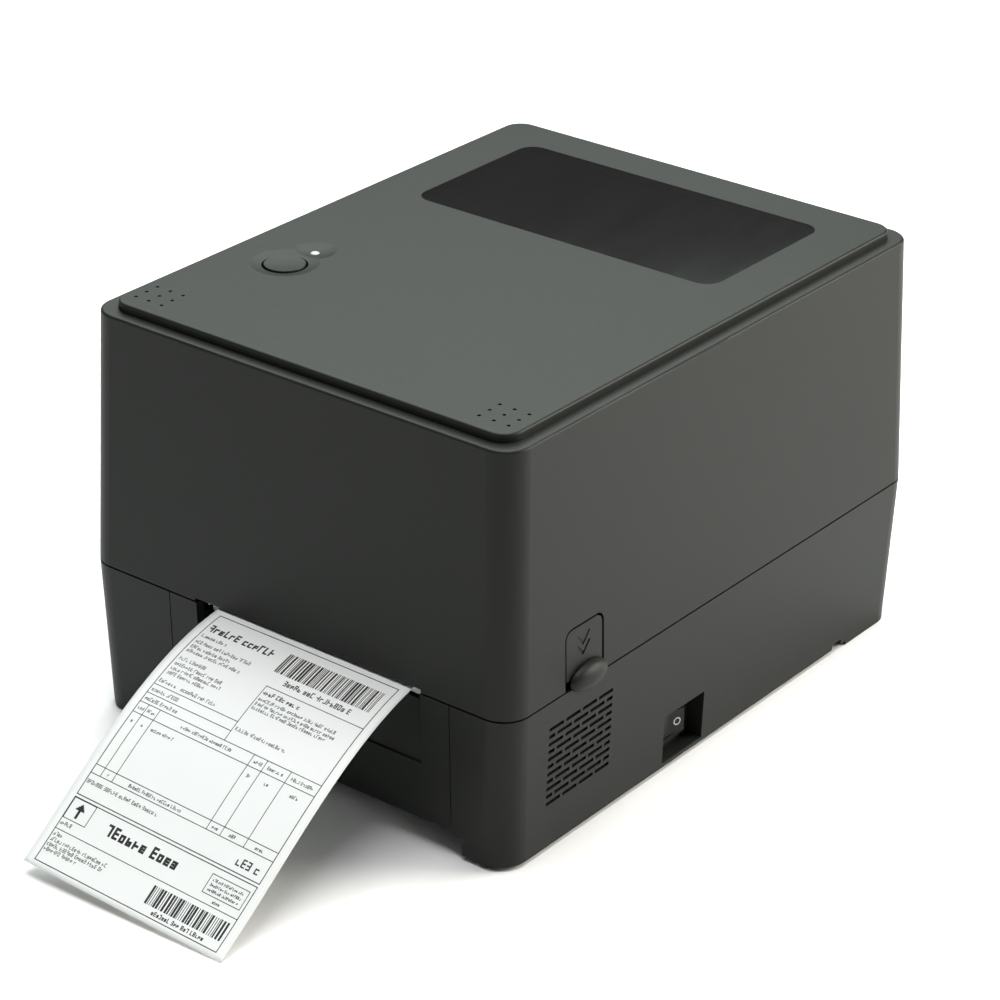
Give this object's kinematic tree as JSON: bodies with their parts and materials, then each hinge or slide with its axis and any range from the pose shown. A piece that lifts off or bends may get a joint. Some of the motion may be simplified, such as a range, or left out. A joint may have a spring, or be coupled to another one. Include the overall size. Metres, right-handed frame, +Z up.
{
  "type": "thermal label printer",
  "caption": "Desktop thermal label printer with a hinged cover, window, feed button, side latches, ribbon and label roll inside, and a printed label in its slot.",
  "frame": {"origin": "on the desk, under the middle of the housing's outline", "axes": "+Z up, front (label slot) towards -Y, +X to the printer's right as seen from the front"},
  "size_m": [0.2318, 0.3994, 0.1861],
  "materials": {
    "housing_plastic": "fine textured matt",
    "black_plastic": "satin",
    "window": "smoked gloss",
    "lens": "clear white",
    "rubber": "matt",
    "steel": "zinc plated",
    "motor_metal": "satin",
    "aluminium": "satin",
    "ceramic": "glazed",
    "paper": "coated label stock",
    "cardboard": "plain",
    "ribbon": "gloss",
    "circuit_board": "solder mask"
  },
  "bodies": {
    "base": {"base_shell": "housing_plastic", "front_panel": "housing_plastic", "chassis_plate": "steel", "rubber_feet": "rubber", "chassis_screws": "steel", "main_board": "circuit_board", "dc_socket": "black_plastic", "usb_socket": "steel", "network_socket": "steel", "switch_bezel": "black_plastic", "media_tray": "housing_plastic", "media_sensor": "circuit_board", "label_web": "paper", "printed_label": "paper", "motor_bracket": "steel", "stepper_motor": "motor_metal", "platen_frame": "steel", "platen_bushes": "black_plastic", "tear_bar": "steel", "hinge_brackets": "steel", "hinge_pins": "steel"},
    "power_rocker": {"power_rocker": "black_plastic"},
    "label_roll": {"label_roll": "paper", "roll_core": "cardboard"},
    "media_guide_right": {"media_guide_right": "black_plastic"},
    "media_guide_left": {"media_guide_left": "black_plastic"},
    "guide_pinion": {"guide_pinion": "black_plastic"},
    "platen": {"platen_roller": "rubber", "platen_shaft": "steel", "platen_gear": "black_plastic"},
    "idler_gear": {"idler_gear": "black_plastic"},
    "motor_pinion": {"motor_pinion": "steel"},
    "cover": {"top_cover": "housing_plastic", "cover_hinge_leaves": "steel", "cover_window": "window", "status_lens": "lens", "button_board": "circuit_board", "feed_spring": "steel", "latch_spring_left": "steel", "latch_spring_right": "steel", "ribbon_plate_left": "steel", "ribbon_plate_right": "steel", "ribbon_bridge": "steel", "head_crossbar": "steel", "frame_screws": "steel", "ribbon_motor": "motor_metal", "head_springs": "steel"},
    "latch_right": {"latch_right": "housing_plastic"},
    "latch_left": {"latch_left": "housing_plastic"},
    "feed_button": {"feed_button": "housing_plastic"},
    "ribbon_supply": {"ribbon_supply_spindle": "black_plastic", "ribbon_supply_roll": "ribbon"},
    "ribbon_takeup": {"ribbon_takeup_spindle": "black_plastic", "ribbon_takeup_roll": "ribbon", "takeup_gear": "black_plastic"},
    "ribbon_pinion": {"ribbon_pinion": "steel"},
    "print_head": {"thermal_head": "ceramic", "head_heatsink": "aluminium", "head_bracket": "steel"}
  },
  "joints": [
    {"name": "cover_hinge", "type": "hinge", "parent": "base", "child": "cover", "pos_m": [0, 0.1413, 0.0695], "axis": [-1, 0, 0], "range_deg": [0, 90]},
    {"name": "latch_right_slide", "type": "slide", "parent": "cover", "child": "latch_right", "axis": [0, 0, -1], "range_m": [0, 0.004], "stiffness_N_per_m": 300, "springref_m": -0.003, "deforming": ["latch_spring_right"]},
    {"name": "latch_left_slide", "type": "slide", "parent": "cover", "child": "latch_left", "axis": [0, 0, -1], "range_m": [0, 0.004], "stiffness_N_per_m": 300, "springref_m": -0.003, "deforming": ["latch_spring_left"]},
    {"name": "feed_button_press", "type": "slide", "parent": "cover", "child": "feed_button", "axis": [0, 0, -1], "range_m": [0, 0.001], "stiffness_N_per_m": 150, "springref_m": -0.003, "deforming": ["feed_spring"]},
    {"name": "power_rocker_tilt", "type": "hinge", "parent": "base", "child": "power_rocker", "pos_m": [0.1, -0.023, 0.0142], "axis": [0, 0, 1], "range_deg": [0, 14]},
    {"name": "label_roll_spin", "type": "hinge", "parent": "base", "child": "label_roll", "pos_m": [0.012, 0.07, 0.088], "axis": [1, 0, 0], "continuous": true},
    {"name": "guide_right_slide", "type": "slide", "parent": "base", "child": "media_guide_right", "axis": [1, 0, 0], "range_m": [0, 0.007]},
    {"name": "guide_left_slide", "type": "slide", "parent": "base", "child": "media_guide_left", "axis": [-1, 0, 0], "range_m": [0, 0.007]},
    {"name": "guide_pinion_spin", "type": "hinge", "parent": "base", "child": "guide_pinion", "pos_m": [0.012, 0.033, 0.0205], "axis": [0, 0, 1], "range_deg": [0, 100.77]},
    {"name": "platen_spin", "type": "hinge", "parent": "base", "child": "platen", "pos_m": [0.012, -0.124, 0.0605], "axis": [1, 0, 0], "continuous": true},
    {"name": "idler_spin", "type": "hinge", "parent": "base", "child": "idler_gear", "pos_m": [-0.065, -0.10449, 0.03725], "axis": [1, 0, 0], "continuous": true},
    {"name": "motor_spin", "type": "hinge", "parent": "base", "child": "motor_pinion", "pos_m": [-0.065, -0.08051, 0.04148], "axis": [1, 0, 0], "continuous": true},
    {"name": "ribbon_supply_spin", "type": "hinge", "parent": "cover", "child": "ribbon_supply", "pos_m": [0.012, -0.018, 0.132], "axis": [1, 0, 0], "continuous": true},
    {"name": "ribbon_takeup_spin", "type": "hinge", "parent": "cover", "child": "ribbon_takeup", "pos_m": [0.012, -0.092, 0.138], "axis": [1, 0, 0], "continuous": true},
    {"name": "ribbon_motor_spin", "type": "hinge", "parent": "cover", "child": "ribbon_pinion", "pos_m": [-0.066, -0.06918, 0.15118], "axis": [1, 0, 0], "continuous": true},
    {"name": "print_head_float", "type": "hinge", "parent": "cover", "child": "print_head", "pos_m": [0.012, -0.092, 0.084], "axis": [-1, 0, 0], "range_deg": [0, 3], "stiffness_Nm_per_rad": 8, "springref_deg": -11.46, "deforming": ["head_springs"]}
  ],
  "couplings": [
    {"joint": "guide_left_slide", "follows": "guide_right_slide", "ratio": 1},
    {"joint": "guide_pinion_spin", "follows": "guide_right_slide", "rad_per_m": 250},
    {"joint": "idler_spin", "follows": "platen_spin", "ratio": -0.66667},
    {"joint": "motor_spin", "follows": "platen_spin", "ratio": 2},
    {"joint": "ribbon_motor_spin", "follows": "ribbon_takeup_spin", "ratio": -3.3333}
  ]
}
